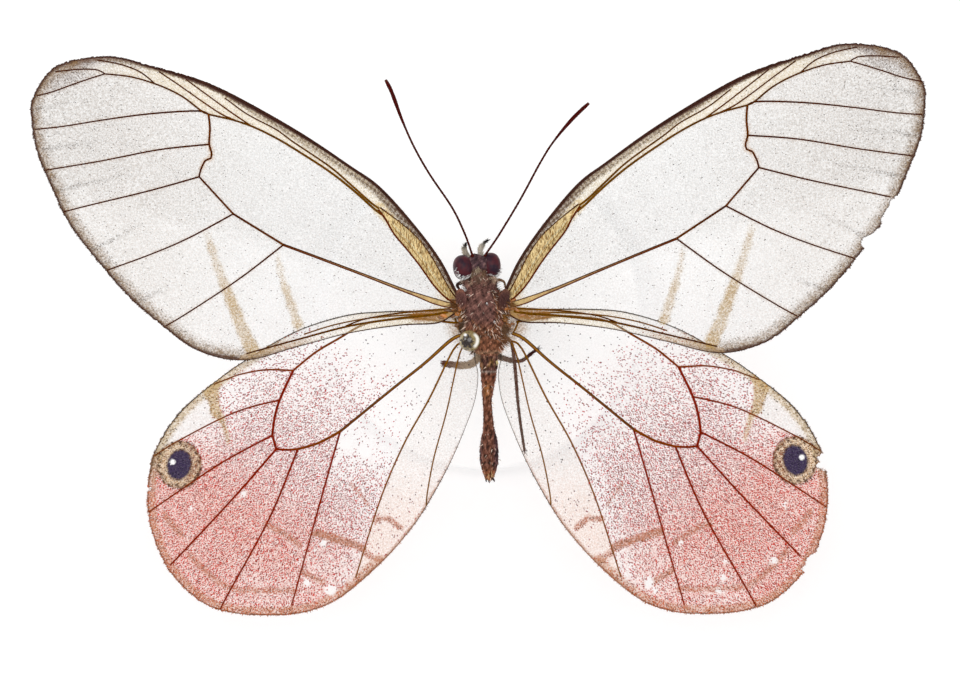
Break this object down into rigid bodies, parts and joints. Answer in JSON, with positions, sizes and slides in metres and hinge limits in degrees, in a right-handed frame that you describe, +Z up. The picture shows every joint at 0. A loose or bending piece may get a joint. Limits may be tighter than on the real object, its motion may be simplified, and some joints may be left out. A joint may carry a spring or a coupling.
{
  "type": "spread clearwing satyr butterfly on a display stand",
  "caption": "Still model of a clear-winged, pink-hindwinged butterfly spread flat, seen from above, held by a rod on a round base.",
  "frame": {"origin": "middle of the underside of the stand's base, on the surface it stands on", "axes": "+Z up, +Y towards the head, +X towards the butterfly's right wings"},
  "size_m": [0.1155, 0.0739, 0.0278],
  "materials": {
    "stand_base": "satin white",
    "stand_pin": "satin",
    "body_hair": "short brown hair and scales",
    "eye": "glossy dark red-brown",
    "antenna": "ringed red-brown horn",
    "leg": "dark brown horn",
    "pale_scales": "pale scales",
    "clear_wing": "clear membrane with brown veins",
    "pink_wing": "clear membrane dusted with pink scales",
    "glue_drop": "clear glossy drop"
  },
  "bodies": {
    "root": {"stand_base": "stand_base", "stand_pin": "stand_pin", "head": "body_hair", "neck": "body_hair", "thorax": "body_hair", "metathorax": "body_hair", "abdomen": "body_hair", "tegula_left": "body_hair", "tegula_right": "body_hair", "eye_left": "eye", "eye_right": "eye", "antenna_left": "antenna", "antenna_right": "antenna", "palp_left": "pale_scales", "palp_right": "pale_scales", "proboscis": "leg", "foreleg_left": "leg", "foreleg_right": "leg", "midleg_left_femur": "leg", "midleg_left_tibia": "leg", "midleg_right_femur": "pale_scales", "midleg_right_tibia": "leg", "hindleg_left_femur": "pale_scales", "hindleg_right_femur": "leg", "hindleg_right_tibia": "leg", "hindleg_right_tarsus": "leg", "forewing_left": "clear_wing", "forewing_right": "clear_wing", "hindwing_left": "pink_wing", "hindwing_right": "pink_wing", "glue_drop": "glue_drop"}
  },
  "joints": []
}
